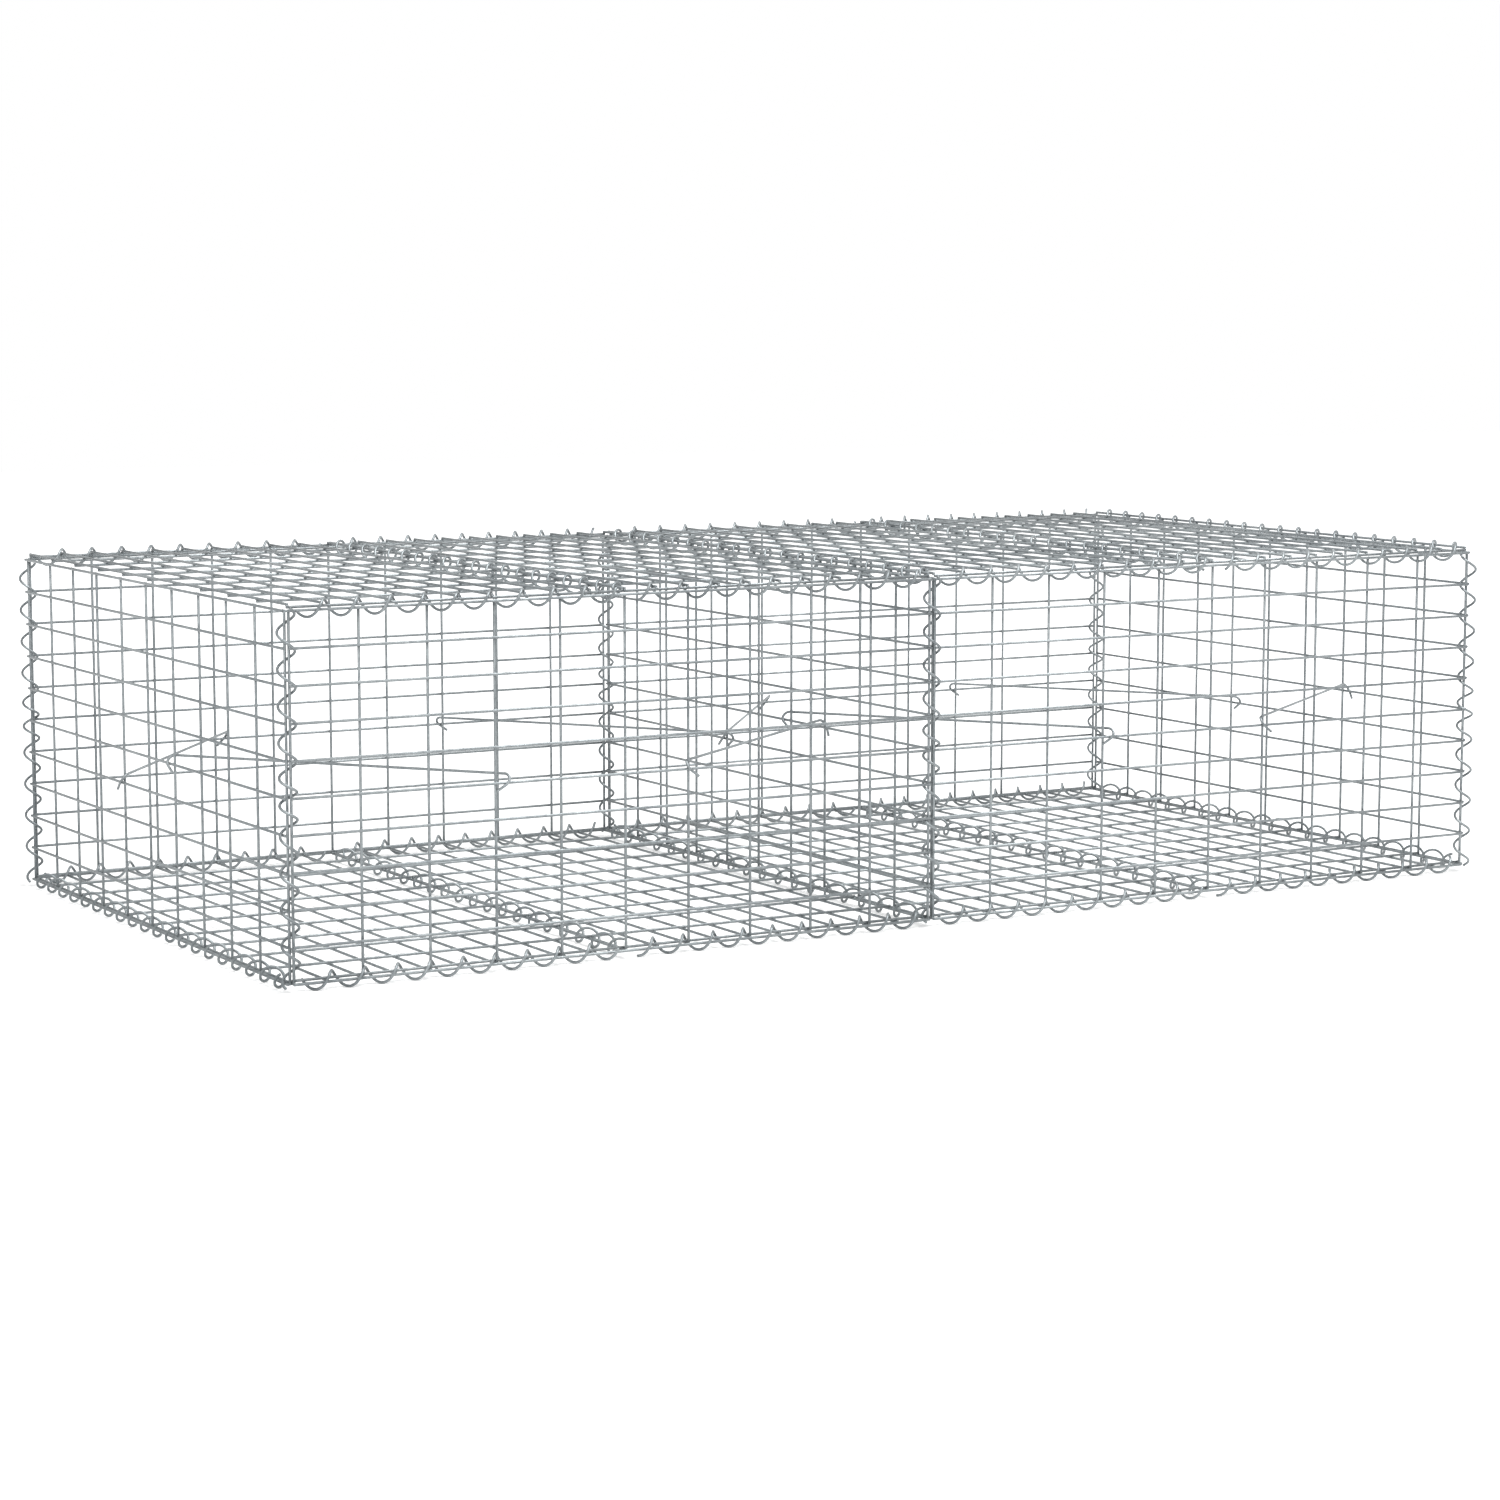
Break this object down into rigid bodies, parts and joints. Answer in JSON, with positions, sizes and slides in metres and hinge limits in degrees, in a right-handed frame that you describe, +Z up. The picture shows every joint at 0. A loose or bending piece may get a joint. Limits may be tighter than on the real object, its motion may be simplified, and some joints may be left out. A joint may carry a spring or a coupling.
{
  "type": "gabion basket",
  "caption": "Long low box of welded galvanised wire mesh with a middle partition and a lid, laced along its edges with spiral wires and held in shape by hooked corner braces.",
  "frame": {"origin": "on the ground, under the middle of the basket", "axes": "+X along the basket, -Y to the front, +Z up"},
  "size_m": [2.0414, 1.0386, 0.5231],
  "materials": {
    "galvanised_mesh": "hot-dip galvanised, matt to satin",
    "galvanised_spiral": "galvanised wire, satin",
    "galvanised_brace": "galvanised wire, satin"
  },
  "bodies": {
    "root": {"back_panel_left": "galvanised_mesh", "back_panel_right": "galvanised_mesh", "base_back_spiral_1": "galvanised_spiral", "base_back_spiral_2": "galvanised_spiral", "base_back_spiral_3": "galvanised_spiral", "base_back_spiral_4": "galvanised_spiral", "base_cross_spiral_1": "galvanised_spiral", "base_cross_spiral_2": "galvanised_spiral", "base_cross_spiral_3": "galvanised_spiral", "base_end_spiral_left": "galvanised_spiral", "base_end_spiral_right": "galvanised_spiral", "base_front_spiral_1": "galvanised_spiral", "base_front_spiral_2": "galvanised_spiral", "base_front_spiral_3": "galvanised_spiral", "base_front_spiral_4": "galvanised_spiral", "base_panel_1": "galvanised_mesh", "base_panel_2": "galvanised_mesh", "base_panel_3": "galvanised_mesh", "base_panel_4": "galvanised_mesh", "brace_left_bay_back": "galvanised_brace", "brace_left_bay_front": "galvanised_brace", "brace_left_end_back": "galvanised_brace", "brace_left_end_front": "galvanised_brace", "brace_right_bay_back": "galvanised_brace", "brace_right_bay_front": "galvanised_brace", "brace_right_end_back": "galvanised_brace", "brace_right_end_front": "galvanised_brace", "corner_spiral_back_left": "galvanised_spiral", "corner_spiral_back_right": "galvanised_spiral", "corner_spiral_front_left": "galvanised_spiral", "corner_spiral_front_right": "galvanised_spiral", "end_panel_left": "galvanised_mesh", "end_panel_right": "galvanised_mesh", "front_panel_left": "galvanised_mesh", "front_panel_right": "galvanised_mesh", "lid_back_spiral_1": "galvanised_spiral", "lid_back_spiral_2": "galvanised_spiral", "lid_back_spiral_3": "galvanised_spiral", "lid_back_spiral_4": "galvanised_spiral", "lid_cross_spiral_1": "galvanised_spiral", "lid_cross_spiral_2": "galvanised_spiral", "lid_cross_spiral_3": "galvanised_spiral", "lid_end_spiral_right": "galvanised_spiral", "lid_front_spiral_1": "galvanised_spiral", "lid_front_spiral_2": "galvanised_spiral", "lid_front_spiral_3": "galvanised_spiral", "lid_front_spiral_4": "galvanised_spiral", "lid_panel_1": "galvanised_mesh", "lid_panel_2": "galvanised_mesh", "lid_panel_3": "galvanised_mesh", "lid_panel_4": "galvanised_mesh", "partition_panel": "galvanised_mesh", "partition_spiral_back": "galvanised_spiral", "partition_spiral_front": "galvanised_spiral"}
  },
  "joints": []
}
